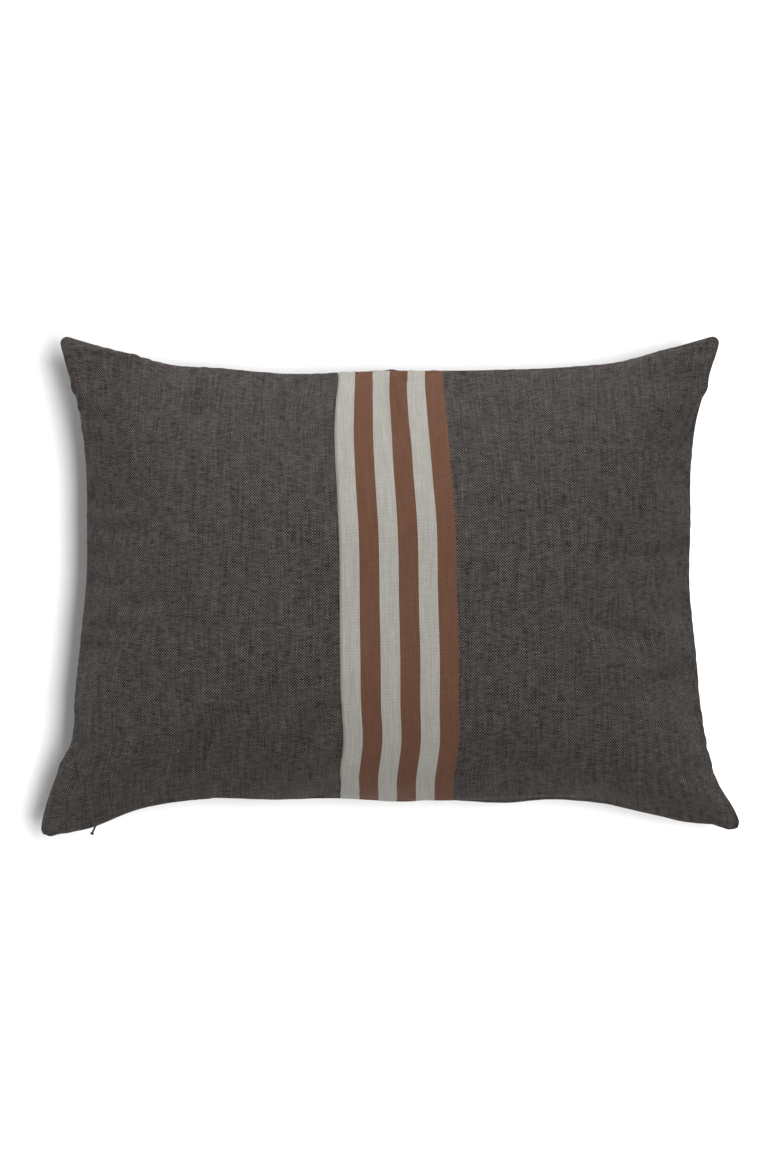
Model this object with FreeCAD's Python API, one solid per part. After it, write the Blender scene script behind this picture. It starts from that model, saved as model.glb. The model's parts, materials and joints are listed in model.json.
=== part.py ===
"""Throw pillow, 20 x 28 in: a zipped cover in plain and striped chambray over a filled insert.

The pillow lies on its back, front face up.  +X runs along its long side, +Y away from the
zip, +Z up from the surface it rests on.  The origin is under the middle of its outline.
Millimetres throughout.
"""
import FreeCAD
import Part
import math
import os

from FreeCAD import Vector

# ---------------------------------------------------------------- driving dimensions
# corner points of the filled cover, where the seams meet in flat ears
ZIP_EAR_X = 347.0
TOP_EAR_X = 326.0
TOP_EAR_Y = 249.0
ZIP_ARC_X = 2.5             # middle of the zip seam, along the pillow
SEAM_Z = 62.0               # height of the seam all round
FRONT_RISE = 98.0           # crown of the front above the seam
BACK_DROP = 86.0            # how far the back would hang below the seam with no surface under it
TOP_BOW = 36.0              # how far each side pulls in between its ears
SIDE_BOW = 36.0
BOW_POWER = 3.0             # a higher power keeps the side straighter in its middle
FRONT_ROLL = 13.0           # how far the front rolls out over the zip seam
DOME_POWER = 2.6            # how square the crown is in plan
DOME_ROUND = 0.55           # how steeply the crown rises from the seam

CLOTH = 0.8                 # chambray
CASING = 0.4                # insert's down-proof cotton
PANEL_SEAM_X = -52.5        # seam between the plain left panel and the striped right panel
PANEL_SEAM_LIFT = 30.0      # its thread is modelled from this far above the outer seam
THREAD = 0.6
THREAD_INSET = 1.1          # threads run this far inside the cover's outside
INSERT_INSET = 2.6          # insert's outside, from the cover's outside
INSERT_EAR = 0.05           # the insert stops short of the ears by this share of its rise

# zip: everything about it is turned about one upright axis, in front of the pillow
ZIP_RADIUS = 1530.0
ZIP_MIDDLE_Y = -200.5
ZIP_REST_DEG = 11.1         # slider's place at rest, left of the zip's middle
ZIP_TRAVEL_DEG = 22.0
ZIP_END_DEG = 0.6           # tape beyond the slider's limits
SLIT_HALF = 0.65            # half the slit between the cover's two lips
LIP_HEIGHT = 4.5
TAPE = 0.5
TAPE_WIDTH = 14.0
TAPE_LEVEL = 5.0            # tape's flat part, above and below the slit
COIL_DEPTH = 2.6
COIL_HEIGHT = 2.4
STOP_LENGTH = 2.5
STOP_GAP = 0.5
SLIDER_LENGTH = 9.0
SLIDER_WALL = 0.8
WEB_HALF = 0.3              # half the thickness of the slider's neck, in the slit
SPINE_INSET = 4.3           # slider's inner wall, behind the coils
ARM_LEVEL = 3.6             # slider's upper and lower arms, outside the coils
ARM_START = 1.9
PLATE_GAP = 0.7             # slider's outer plate stands this far off the lips
PLATE = 0.9
PLATE_HALF = 2.6
BRIDGE_HALF = 0.8           # half the bridge's thickness, along Z
BRIDGE_RADIUS = 2.2
PIN_RADIUS = 0.6
PIN_PLAY = 0.05
PIN_STANDOFF = 1.0          # from the outer plate to the pull's pin
PULL_LENGTH = 19.0
PULL_REST_DEG = -24.8       # pull's lean to the left of straight out, at rest
PULL_HALF_HEIGHT = 2.5
PULL_HALF = 0.55
PULL_LEG_GAP = 0.3          # between the bridge and the legs of the pull
PULL_EYE = 3.2              # inside length of the pull's eye
PULL_TIP_RADIUS = 1.1

INSERT_RECESS = 17.0        # room that the zip takes in the insert
INSERT_RECESS_HALF = 7.0
LABEL_LENGTH = 38.0
LABEL_WIDTH = 10.0
LABEL = 0.3
LABEL_DEG = -8.6            # to the right of the zip's middle

NODES = {}
ZIP_CENTRE = Vector(ZIP_ARC_X, ZIP_MIDDLE_Y - ZIP_RADIUS, 0)


# ---------------------------------------------------------------- outline of the pillow
def zip_seam_y(x):
    """The seam with the zip is an arc of one circle."""
    return ZIP_CENTRE.y + math.sqrt(ZIP_RADIUS ** 2 - (x - ZIP_ARC_X) ** 2)


def bow(t):
    return 1.0 - abs(t) ** BOW_POWER


def plan(u, v, roll, inset):
    """Point of the outline's plane for u and v from -1 to 1, left to right and zip to top."""
    ear_x = (ZIP_EAR_X * (1 - v) + TOP_EAR_X * (1 + v)) / 2
    x = u * (ear_x - SIDE_BOW * bow(v) * abs(u) ** 2)
    top = TOP_EAR_Y - TOP_BOW * bow(u)
    bottom = zip_seam_y(x) - roll * bow(u * 0.95)
    y = (bottom * (1 - v) + top * (1 + v)) / 2
    return x * (1 - inset / ZIP_EAR_X), y * (1 - inset / TOP_EAR_Y)


def level_wire(rise_share, z, roll, inset):
    """Closed outline of the dome where it has risen by this share of its crown: four sides."""
    k = max(rise_share, 0.0) ** (1 / DOME_ROUND)
    diagonal = (1 - math.sqrt(k)) ** (1 / DOME_POWER)
    steps = 14
    edges = []
    for quarter in range(4):
        points = []
        for i in range(steps + 1):
            along = diagonal * math.sin(math.pi * (i / steps - 0.5))
            if i in (0, steps):
                across = diagonal
            else:
                across = max(0.0, 1 - k / (1 - abs(along) ** DOME_POWER)) ** (1 / DOME_POWER)
            u, v = [(along, -across), (across, along), (-along, across), (-across, -along)][quarter]
            x, y = plan(u, v, roll, inset)
            points.append(Vector(x, y, z))
        curve = Part.BSplineCurve()
        curve.interpolate(points)
        edges.append(curve.toShape())
    return Part.Wire(edges)


def front_dome(inset, ear=0.0):
    """Closed solid from the seam's plane up to the crown, rolling out over the zip.

    Each level is its share of the rise, the share that sets its outline, and the share of
    the roll.  The first two levels keep nearly the same outline, so the wall starts upright.
    """
    rise = FRONT_RISE - inset
    levels = ((0.0, 0.0, 0.0), (0.055, 0.01, 0.0), (0.15, 0.15, 0.8), (0.3, 0.3, 1.0),
              (0.5, 0.5, 0.9), (0.7, 0.7, 0.6), (0.85, 0.85, 0.4), (0.95, 0.95, 0.3),
              (0.985, 0.985, 0.2))
    wires = [level_wire(max(outline, ear), SEAM_Z + rise * height, FRONT_ROLL * roll, inset)
             for height, outline, roll in levels]
    return Part.makeLoft(wires, True, False)


def back_dome(inset, ear=0.0):
    """Closed solid from the seam's plane down to the flat that it rests on."""
    drop = SEAM_Z - inset
    floor_share = SEAM_Z / BACK_DROP
    levels = ((0.0, 0.0), (0.1, 0.01), (0.28, 0.28 * floor_share), (0.5, 0.5 * floor_share),
              (0.75, 0.75 * floor_share), (0.92, 0.92 * floor_share), (1.0, floor_share))
    wires = [level_wire(max(outline, ear), SEAM_Z - drop * depth, 0.0, inset)
             for depth, outline in levels]
    return Part.makeLoft(wires, True, False)


# ---------------------------------------------------------------- zip geometry
def zip_ring(sections, start_deg, sweep_deg):
    """Solids turned about the zip's axis, from rectangles (inset low, high, z low, high).

    Insets count from the seam into the pillow, heights from the seam's plane, and angles
    from the zip's middle, positive to the left.
    """
    solids = []
    for low, high, z_low, z_high in sections:
        corners = [(low, z_low), (high, z_low), (high, z_high), (low, z_high), (low, z_low)]
        wire = Part.makePolygon([Vector(0, ZIP_RADIUS + r, SEAM_Z + z) for r, z in corners])
        ring = Part.Face(wire).revolve(Vector(0, 0, 0), Vector(0, 0, 1), sweep_deg)
        ring.rotate(Vector(0, 0, 0), Vector(0, 0, 1), start_deg)
        ring.translate(ZIP_CENTRE)
        solids.append(ring)
    return solids


def fused(solids):
    shape = solids[0]
    for other in solids[1:]:
        shape = shape.fuse(other)
    return shape.removeSplitter()


def along_zip(length):
    """Angle of a length along the zip, in degrees."""
    return math.degrees(length / ZIP_RADIUS)


def zip_point(inset, angle_deg, z=0.0):
    a = math.radians(angle_deg)
    r = ZIP_RADIUS + inset
    return ZIP_CENTRE + Vector(-r * math.sin(a), r * math.cos(a), SEAM_Z + z)


ZIP_LEFT = ZIP_REST_DEG + ZIP_END_DEG
ZIP_RIGHT = ZIP_REST_DEG - ZIP_TRAVEL_DEG - ZIP_END_DEG
ZIP_SWEEP = ZIP_LEFT - ZIP_RIGHT
STOP_LEFT = ZIP_REST_DEG + along_zip(SLIDER_LENGTH / 2 + STOP_GAP)
STOP_RIGHT = ZIP_REST_DEG - ZIP_TRAVEL_DEG - along_zip(SLIDER_LENGTH / 2 + STOP_GAP)
PIN_INSET = -(PLATE_GAP + PLATE + PIN_STANDOFF)


def mirrored(section):
    low, high, z_low, z_high = section
    return low, high, -z_high, -z_low


def lip(side):
    """The cover's folded edge beside the slit, above it (+1) or below it (-1)."""
    section = (0.0, CLOTH, SLIT_HALF, LIP_HEIGHT)
    return zip_ring([section if side > 0 else mirrored(section)], ZIP_RIGHT, ZIP_SWEEP)[0]


def box_about(low, high):
    size = high - low
    return Part.makeBox(size.x, size.y, size.z, low)


# ---------------------------------------------------------------- cover
def make_cover():
    far = 500.0
    slot = zip_ring([(-30.0, 6.0, -LIP_HEIGHT, LIP_HEIGHT)], ZIP_RIGHT, ZIP_SWEEP)[0]
    front = front_dome(0.0).cut(front_dome(CLOTH)).cut(slot)
    back = back_dome(0.0).cut(back_dome(CLOTH)).cut(slot)
    left_half = box_about(Vector(-far, -far, 0), Vector(PANEL_SEAM_X, far, far))
    right_half = box_about(Vector(PANEL_SEAM_X, -far, 0), Vector(far, far, far))
    NODES["front_left_panel"] = [front.common(left_half), lip(1).common(left_half)]
    NODES["front_right_panel"] = [front.common(right_half), lip(1).common(right_half)]
    NODES["back_panel"] = [back, lip(-1)]

    # lockstitch thread down the inside of the seam between the front panels
    strip = box_about(Vector(PANEL_SEAM_X - THREAD / 2, -far, SEAM_Z + PANEL_SEAM_LIFT),
                      Vector(PANEL_SEAM_X + THREAD / 2, far, far))
    sheet = front_dome(THREAD_INSET).cut(front_dome(THREAD_INSET + THREAD))
    NODES["front_seam_thread"] = [sheet.common(strip)]

    # lockstitch thread inside the seam of the three closed sides and past both ends of the zip
    ring = seam_ring(THREAD_INSET, 0.0)
    zip_span = zip_ring([(-40.0, 30.0, -9.0, 9.0)], ZIP_RIGHT, ZIP_SWEEP)[0]
    NODES["cover_seam_thread"] = [ring.cut(zip_span)]


def seam_ring(inset, ear):
    """A thread's width of ring in the seam's plane."""
    outer = Part.Face(level_wire(ear, SEAM_Z - THREAD / 2, 0.0, inset))
    inner = Part.Face(level_wire(ear, SEAM_Z - THREAD / 2, 0.0, inset + THREAD))
    return outer.extrude(Vector(0, 0, THREAD)).cut(inner.extrude(Vector(0, 0, THREAD)))


# ---------------------------------------------------------------- insert
def make_insert():
    def recess(extra):
        reach = INSERT_RECESS + extra
        half = INSERT_RECESS_HALF + extra
        return zip_ring([(-60.0, reach, -half, half)], -15.0, 30.0)[0]

    fill_inset = INSERT_INSET + CASING
    fill_front = front_dome(fill_inset, INSERT_EAR)
    fill_back = back_dome(fill_inset, INSERT_EAR)
    room = recess(CASING)
    bag = recess(0.0)
    NODES["insert_casing_front"] = [
        front_dome(INSERT_INSET, INSERT_EAR).cut(bag).cut(fill_front.cut(room))]
    NODES["insert_casing_back"] = [
        back_dome(INSERT_INSET, INSERT_EAR).cut(bag).cut(fill_back.cut(room))]
    NODES["insert_fill"] = [fill_front.fuse(fill_back).removeSplitter().cut(room)]


# ---------------------------------------------------------------- zip
def make_zip():
    upright = (CLOTH, CLOTH + TAPE, SLIT_HALF, TAPE_LEVEL + TAPE)
    flat = (CLOTH + TAPE, TAPE_WIDTH, TAPE_LEVEL, TAPE_LEVEL + TAPE)
    coil = (CLOTH + TAPE, CLOTH + TAPE + COIL_DEPTH, SLIT_HALF, SLIT_HALF + COIL_HEIGHT)
    stop = (CLOTH + TAPE, CLOTH + TAPE + COIL_DEPTH + 0.2, SLIT_HALF, SLIT_HALF + COIL_HEIGHT + 0.2)
    stitch = (TAPE_WIDTH / 2, TAPE_WIDTH / 2 + THREAD, TAPE_LEVEL + TAPE, TAPE_LEVEL + TAPE + 0.4)
    coil_sweep = STOP_LEFT - STOP_RIGHT

    for side, name in ((1, "front"), (-1, "back")):
        sections = [upright, flat] if side > 0 else [mirrored(upright), mirrored(flat)]
        NODES["zipper_tape_" + name] = [fused(zip_ring(sections, ZIP_RIGHT, ZIP_SWEEP))]
        section = coil if side > 0 else mirrored(coil)
        NODES["zipper_coil_" + name] = zip_ring([section], STOP_RIGHT, coil_sweep)

    length = along_zip(STOP_LENGTH)
    NODES["zipper_closed_end_stops"] = zip_ring([stop, mirrored(stop)], STOP_LEFT, length)
    whole_stop = (stop[0], stop[1], -stop[3], stop[3])
    NODES["zipper_open_end_stop"] = zip_ring([whole_stop], STOP_RIGHT - length, length)
    NODES["zipper_stitching"] = zip_ring([stitch, mirrored(stitch)], ZIP_RIGHT, ZIP_SWEEP)


def make_slider():
    """An E-shaped body round both coils, a neck through the slit, a plate and a bridge outside."""
    arm = (ARM_START, SPINE_INSET + SLIDER_WALL, ARM_LEVEL, ARM_LEVEL + SLIDER_WALL)
    top = ARM_LEVEL + SLIDER_WALL
    spine = (SPINE_INSET, SPINE_INSET + SLIDER_WALL, -top, top)
    neck = (-PLATE_GAP, SPINE_INSET, -WEB_HALF, WEB_HALF)
    plate = (-(PLATE_GAP + PLATE), -PLATE_GAP, -PLATE_HALF, PLATE_HALF)
    sweep = along_zip(SLIDER_LENGTH)
    body = fused(zip_ring([arm, mirrored(arm), spine, neck, plate], ZIP_REST_DEG - sweep / 2, sweep))

    # bridge: a low arch along the zip, with a bore for the pull's pin
    pin = zip_point(PIN_INSET, ZIP_REST_DEG)
    hump = Part.makeCylinder(BRIDGE_RADIUS, 2 * BRIDGE_HALF, pin - Vector(0, 0, BRIDGE_HALF))
    bore = Part.makeCylinder(PIN_RADIUS + PIN_PLAY, 2 * PLATE_HALF, pin - Vector(0, 0, PLATE_HALF))
    keep_out = zip_ring([(-PLATE_GAP - PLATE / 2, 5.0, -3.0, 3.0)], ZIP_REST_DEG - sweep, 2 * sweep)[0]
    NODES["zipper_slider"] = [body.fuse(hump.cut(keep_out)).cut(bore).removeSplitter()]


def make_pull():
    """A flat tab on edge, with an eye whose pin passes through the slider's bridge."""
    pin_point = Vector(0, 0, 0)
    eye_half = BRIDGE_HALF + PULL_LEG_GAP
    blade = Part.makeBox(2 * PULL_HALF, PULL_LENGTH - PULL_TIP_RADIUS, 2 * PULL_HALF_HEIGHT,
                         Vector(-PULL_HALF, -(PULL_LENGTH - PULL_TIP_RADIUS), -PULL_HALF_HEIGHT))
    heel = Part.makeCylinder(PULL_HALF, 2 * PULL_HALF_HEIGHT, Vector(0, 0, -PULL_HALF_HEIGHT))
    tip = Part.makeCylinder(PULL_TIP_RADIUS, 2 * PULL_HALF_HEIGHT,
                            Vector(0, -(PULL_LENGTH - PULL_TIP_RADIUS), -PULL_HALF_HEIGHT))
    tab = blade.fuse(heel).fuse(tip)
    eye = Part.makeBox(4.0, PULL_EYE + 2.0, 2 * eye_half, Vector(-2.0, -PULL_EYE, -eye_half))
    pin = Part.makeCylinder(PIN_RADIUS, 2 * eye_half + 0.4, Vector(0, 0, -eye_half - 0.2))
    tab = tab.cut(eye).fuse(pin).removeSplitter()
    tab.rotate(pin_point, Vector(0, 0, 1), PULL_REST_DEG)
    tab.translate(zip_point(PIN_INSET, ZIP_REST_DEG))
    NODES["zipper_pull_tab"] = [tab]


def make_label():
    """A blank care label, sewn in beside the zip and lying on the back tape."""
    low = -(TAPE_LEVEL - 0.2)
    section = (SPINE_INSET + SLIDER_WALL + 0.9, SPINE_INSET + SLIDER_WALL + 0.9 + LABEL_WIDTH,
               low, low + LABEL)
    NODES["care_label"] = zip_ring([section], LABEL_DEG, along_zip(LABEL_LENGTH))


# ---------------------------------------------------------------- build and write
def write_nodes():
    os.makedirs("parts", exist_ok=True)
    for name, solids in NODES.items():
        pieces = []
        for solid in solids:
            pieces.extend(solid.Solids)
        shape = pieces[0] if len(pieces) == 1 else Part.makeCompound(pieces)
        box = shape.BoundBox
        print("%-24s solids %d valid %s volume %.1f  x %.1f..%.1f  y %.1f..%.1f  z %.2f..%.2f" % (
            name, len(pieces), shape.isValid(), shape.Volume,
            box.XMin, box.XMax, box.YMin, box.YMax, box.ZMin, box.ZMax))
        shape.exportStep("parts/%s.step" % name)


make_cover()
make_insert()
make_zip()
make_slider()
make_pull()
make_label()
write_nodes()
pin_place = zip_point(PIN_INSET, ZIP_REST_DEG)
print("zip axis", ZIP_CENTRE.x, ZIP_CENTRE.y, "pull pin", pin_place.x, pin_place.y, pin_place.z)
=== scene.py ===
import json
import math

import bpy
import numpy as np
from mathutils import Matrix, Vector


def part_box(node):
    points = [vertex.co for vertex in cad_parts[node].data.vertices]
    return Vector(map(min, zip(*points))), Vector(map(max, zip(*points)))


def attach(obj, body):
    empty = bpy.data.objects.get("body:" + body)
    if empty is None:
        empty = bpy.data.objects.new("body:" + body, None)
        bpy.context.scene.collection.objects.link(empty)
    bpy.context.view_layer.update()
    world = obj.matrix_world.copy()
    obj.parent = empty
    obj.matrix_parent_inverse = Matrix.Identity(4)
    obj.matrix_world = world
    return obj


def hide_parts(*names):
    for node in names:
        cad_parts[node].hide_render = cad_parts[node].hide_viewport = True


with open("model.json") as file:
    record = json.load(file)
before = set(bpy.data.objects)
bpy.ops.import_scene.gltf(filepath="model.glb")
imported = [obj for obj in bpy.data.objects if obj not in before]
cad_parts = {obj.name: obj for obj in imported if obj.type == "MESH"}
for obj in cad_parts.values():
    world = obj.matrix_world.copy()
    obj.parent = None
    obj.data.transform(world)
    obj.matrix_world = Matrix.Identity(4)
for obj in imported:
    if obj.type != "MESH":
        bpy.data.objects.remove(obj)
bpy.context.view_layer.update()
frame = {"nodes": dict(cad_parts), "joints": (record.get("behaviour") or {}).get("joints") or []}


# ---------------------------------------------------------------- studio
# A pale seamless table seen from straight above, with the camera on a high boom.  Soft boxes
# hang over it and beyond its far and near sides, and one to the right whitens the table alone.

bpy.ops.object.select_all(action="DESELECT")
VIEW_TARGET = Vector((-0.001, 0.0005, 0.062))
VIEW_HEIGHT = 3.0
VIEW_SPAN = 1.17
FILM_HEIGHT = 36.0
TABLE_SIZE = 12.0
TABLE_DROP = 0.0005             # below the pillow, so that the two faces never fight
PAPER_WHITE = (0.9, 0.9, 0.9, 1)
ROOM_LIGHT = 0.37
LIGHTS_AIM = Vector((0, 0, 0))

camera_data = bpy.data.cameras.new("camera")
camera_data.sensor_fit = "VERTICAL"
camera_data.sensor_height = FILM_HEIGHT
camera_data.lens = FILM_HEIGHT * VIEW_HEIGHT / VIEW_SPAN
camera = bpy.data.objects.new("camera", camera_data)
camera.location = VIEW_TARGET + Vector((0, 0, VIEW_HEIGHT))
bpy.context.collection.objects.link(camera)
bpy.context.scene.camera = camera

bpy.ops.mesh.primitive_plane_add(size=TABLE_SIZE, location=(0, 0, -TABLE_DROP))
table_top = bpy.context.active_object
table_top.name = "table_top"
paper = bpy.data.materials.new("white_paper")
paper.use_nodes = True
paper.node_tree.nodes["Principled BSDF"].inputs["Base Color"].default_value = PAPER_WHITE
paper.node_tree.nodes["Principled BSDF"].inputs["Roughness"].default_value = 0.9
table_top.data.materials.append(paper)


def soft_box(name, place, size, watts):
    """A rectangular soft box turned to the middle of the table."""
    lamp = bpy.data.lights.new(name, "AREA")
    lamp.shape = "RECTANGLE"
    lamp.size, lamp.size_y = size
    lamp.energy = watts
    lamp_object = bpy.data.objects.new(name, lamp)
    lamp_object.location = place
    lamp_object.rotation_euler = (LIGHTS_AIM - Vector(place)).to_track_quat("-Z", "Y").to_euler()
    bpy.context.collection.objects.link(lamp_object)
    return lamp_object


key_light = soft_box("key_light", (0.05, 0.75, 2.9), (1.2, 1.0), 41.0)
top_light = soft_box("top_light", (-0.1, 2.5, 1.5), (1.6, 0.9), 41.0)
fill_light = soft_box("fill_light", (0.1, -2.4, 2.6), (1.8, 1.4), 11.0)
table_light = soft_box("table_light", (0.85, 0.0, 2.5), (1.8, 1.2), 112.0)
lit_table = bpy.data.collections.new("lit_table")
lit_table.objects.link(table_top)
table_light.light_linking.receiver_collection = lit_table
spared_table = bpy.data.collections.new("spared_table")
spared_table.objects.link(table_top)
spared_table.collection_objects[0].light_linking.link_state = "EXCLUDE"
for lamp in (key_light, top_light, fill_light):
    lamp.light_linking.receiver_collection = spared_table
room = bpy.data.worlds.new("room")
bpy.context.scene.world = room
room.use_nodes = True
room.node_tree.nodes["Background"].inputs["Color"].default_value = (1, 1, 1, 1)
room.node_tree.nodes["Background"].inputs["Strength"].default_value = ROOM_LIGHT
bpy.context.scene.view_settings.view_transform = "Standard"


# ---------------------------------------------------------------- cover: cutting and filling
# Front and back of the chambray cover are cut to the same rectangle, 28 by 20 in, and sewn round
# three sides; the fourth side takes the zip, which lies on an arc.  Filling pulls the sides in and
# leaves ears.

CUT_LENGTH = 0.711
CUT_WIDTH = 0.508
CLOTH = 0.0008
SEAM_X = -0.0475                # the front seam, on the flat cut
COLUMN = 0.0062                 # mesh cell, before it is subdivided
SEAM_Z = sum(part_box("zipper_slider")[i].z for i in (0, 1)) / 2
CROWN_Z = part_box("front_right_panel")[1].z
SLIT_HALF = 0.00065
LIP_HEIGHT = 0.0045
EAR_ROUND = 0.0065
EAR_START = 0.002               # past the ends of the zip's tape
LEFT_EAR_BEND = 1.3
RIGHT_EAR_BEND = 2.0
COIL_REACH = 0.0039             # from the seam's arc to the coil's far side
CURVE_POINTS = 600

travel = next(j for j in frame["joints"] if j["name"] == "slider_travel")
ZIP_CENTRE = np.array(travel["pos_m"][:2])
tape_low, tape_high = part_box("zipper_tape_back")
ZIP_HALF_LENGTH = (tape_high.x - tape_low.x) / 2
ZIP_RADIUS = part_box("zipper_coil_front")[1].y - ZIP_CENTRE[1] - COIL_REACH


def zip_seam_y(x):
    """Where the zip's arc passes a place along the pillow."""
    return ZIP_CENTRE[1] + np.sqrt(ZIP_RADIUS ** 2 - (x - ZIP_CENTRE[0]) ** 2)


def between(values, places, wanted):
    """Values on a smooth curve between those known at some places, along the first axis."""
    slope = np.gradient(values, places, axis=0)
    span = np.clip(np.searchsorted(places, wanted, side="right") - 1, 0, len(places) - 2)
    spread = (-1,) + (1,) * (values.ndim - 1)
    width = (places[span + 1] - places[span]).reshape(spread)
    t = (wanted - places[span]).reshape(spread) / width
    return ((1 + 2 * t) * (1 - t) ** 2 * values[span] + t * (1 - t) ** 2 * width * slope[span]
            + t * t * (3 - 2 * t) * values[span + 1] + t * t * (t - 1) * width * slope[span + 1])


def run_along(points):
    """Length from the first point to each, along a line of points."""
    return np.concatenate([[0], np.cumsum(np.linalg.norm(np.diff(points, axis=0), axis=1))])


def spaced(points, shares):
    """The same line of points, spaced again at shares of its length."""
    run = run_along(points)
    return np.stack([np.interp(shares * run[-1], run, points[:, k])
                     for k in range(points.shape[1])], axis=1)


def smooth_side(handles, shares):
    """Points on a smooth curve through given points, at shares of its length."""
    points = np.array(handles) / 1000
    place = run_along(points)
    return spaced(between(points, place, np.linspace(0, place[-1], CURVE_POINTS)), shares)


def ramp(value, low, high):
    """0 up to low, 1 from high on, and a smooth rise between them."""
    t = np.clip((value - low) / (high - low), 0, 1)
    return t * t * (3 - 2 * t)


left_count = round((CUT_LENGTH / 2 + SEAM_X) / COLUMN)
right_count = round((CUT_LENGTH / 2 - SEAM_X) / COLUMN)
columns = np.concatenate([np.linspace(-CUT_LENGTH / 2, SEAM_X, left_count + 1),
                          np.linspace(SEAM_X, CUT_LENGTH / 2, right_count + 1)[1:]])
row_count = round(CUT_WIDTH / COLUMN)
rows = np.linspace(-CUT_WIDTH / 2, CUT_WIDTH / 2, row_count + 1)
rows[1] = rows[0] + LIP_HEIGHT - SLIT_HALF
along = (columns - columns[0]) / CUT_LENGTH
across = (rows - rows[0]) / CUT_WIDTH

# the outer seam of the filled cover, in millimetres, each side from ear to ear
TOP_SIDE = [(-333, 251.5), (-298, 241), (-262, 231), (-214, 220), (-166, 217), (-106, 212),
            (0, 214.5), (110, 215.5), (182, 218.5), (230, 223.5), (266, 233), (331.5, 252)]
LEFT_SIDE = [(-353.5, -257), (-349, -232), (-337, -195), (-319, -152), (-316, -110), (-310, -50),
             (-304.5, 10), (-304, 60), (-305.5, 130), (-312, 178), (-323, 215), (-333, 251.5)]
RIGHT_SIDE = [(355, -253), (346, -228), (325, -193), (311, -132), (304, -60), (298.5, 0),
              (299.5, 60), (300, 120), (305.5, 165), (317, 205), (331.5, 252)]

top_edge = smooth_side(TOP_SIDE, along)
left_edge = smooth_side(LEFT_SIDE, across)
right_edge = smooth_side(RIGHT_SIDE, across)
zip_x = left_edge[0, 0] + (right_edge[0, 0] - left_edge[0, 0]) * along
from_zip_middle = np.abs(zip_x - ZIP_CENTRE[0])
past_zip = from_zip_middle - ZIP_HALF_LENGTH - EAR_START
ear_share = np.clip(past_zip / np.where(zip_x < 0, past_zip[0], past_zip[-1]), 0, 1)
ear_drop = np.where(zip_x < 0, zip_seam_y(zip_x[0]) - left_edge[0, 1],
                    zip_seam_y(zip_x[-1]) - right_edge[0, 1])
ear_bend = np.where(zip_x < 0, LEFT_EAR_BEND, RIGHT_EAR_BEND)
zip_edge = np.stack([zip_x, zip_seam_y(zip_x) - ear_drop * ear_share ** ear_bend], axis=1)


EAR_POINTS = 4                  # points of each seam that give its direction at the ear


def rounded_ear(side_a, side_b):
    """Rounds the two seams where they meet, at the first point of each."""
    tip = side_a[0].copy()
    ends = [side[EAR_POINTS] - tip for side in (side_a, side_b)]
    ways = [end / np.linalg.norm(end) for end in ends]
    half_angle = math.acos(float(np.clip(ways[0] @ ways[1], -1, 1))) / 2
    tangent = EAR_ROUND / math.tan(half_angle)
    middle = ways[0] + ways[1]
    centre = tip + middle / np.linalg.norm(middle) * EAR_ROUND / math.sin(half_angle)
    turn = math.pi / 2 - half_angle
    for side, way in zip((side_a, side_b), ways):
        foot = tip + way * tangent
        inward = (foot - centre) / EAR_ROUND
        for point in side:
            reach = float((point - tip) @ way)
            if reach < tangent:
                angle = turn * (1 - reach / tangent)
                point[:] = centre + EAR_ROUND * (inward * math.cos(angle) - way * math.sin(angle))


rounded_ear(zip_edge, left_edge)
rounded_ear(zip_edge[::-1], right_edge)
rounded_ear(top_edge, left_edge[::-1])
rounded_ear(top_edge[::-1], right_edge[::-1])


def filled_in(low, high, left, right):
    """A surface drawn between four edges that meet at their ends."""
    u, v = along[None, :, None], across[:, None, None]
    return ((1 - v) * low[None] + v * high[None] + (1 - u) * left[:, None] + u * right[:, None]
            - (1 - u) * (1 - v) * low[0] - u * (1 - v) * low[-1]
            - (1 - u) * v * high[0] - u * v * high[-1])


# how far the front rolls out over the zip, along it, in millimetres
ROLL = [(-354, 0), (-335, 6), (-312, 10), (-290, 8.5), (-262, 3.5), (-238, 1), (-190, 2), (-142, 6),
        (-106, 9), (-58, 11), (2, 14), (50, 14.2), (110, 12.5), (182, 8.5), (230, 6.9), (266, 7.2),
        (290, 8), (315, 6), (338, 3.5), (356, 0)]
roll_x, roll_out = np.array(ROLL).T / 1000
roll_out = between(roll_out[:, None], roll_x, zip_x)[:, 0]
roll_out[0] = roll_out[-1] = 0
rolled_edge = zip_edge.copy()
rolled_edge[:, 1] -= roll_out


PUCKER = 3.7                    # millimetres to the radian: a pucker, its wander and its swell
PUCKER_WANDER = 31
PUCKER_SWELL = 17


def puckers(length_along, phase):
    """Rise and fall of a gathered seam: the thread is shorter than the cloth it holds."""
    s = length_along * 1000
    wander = 1.3 * np.sin(s / PUCKER_WANDER + phase)
    swell = 0.6 + 0.4 * np.sin(s / PUCKER_SWELL + 2 * phase)
    return np.sin(s / PUCKER + phase + wander) * swell


EARS_CLEAR = 0.045
EAR_LIFT_REACH = 0.06
SEAM_WAVE = 0.0009
WAVE_REACH = 0.03


def seam_heights(places, start_lift, end_lift):
    """Height of a seam along its length; its two ears rise or droop."""
    lift = start_lift * np.exp(-((places - places[0]) / EAR_LIFT_REACH) ** 2)
    return SEAM_Z + lift + end_lift * np.exp(-((places[-1] - places) / EAR_LIFT_REACH) ** 2)


def seam_wave(places, phase):
    """Wave of a seam up and down, away from its ears."""
    from_ends = np.minimum(places - places[0], places[-1] - places)
    return SEAM_WAVE * puckers(places, phase) * np.clip(from_ends / EARS_CLEAR - 0.4, 0, 1)


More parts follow.
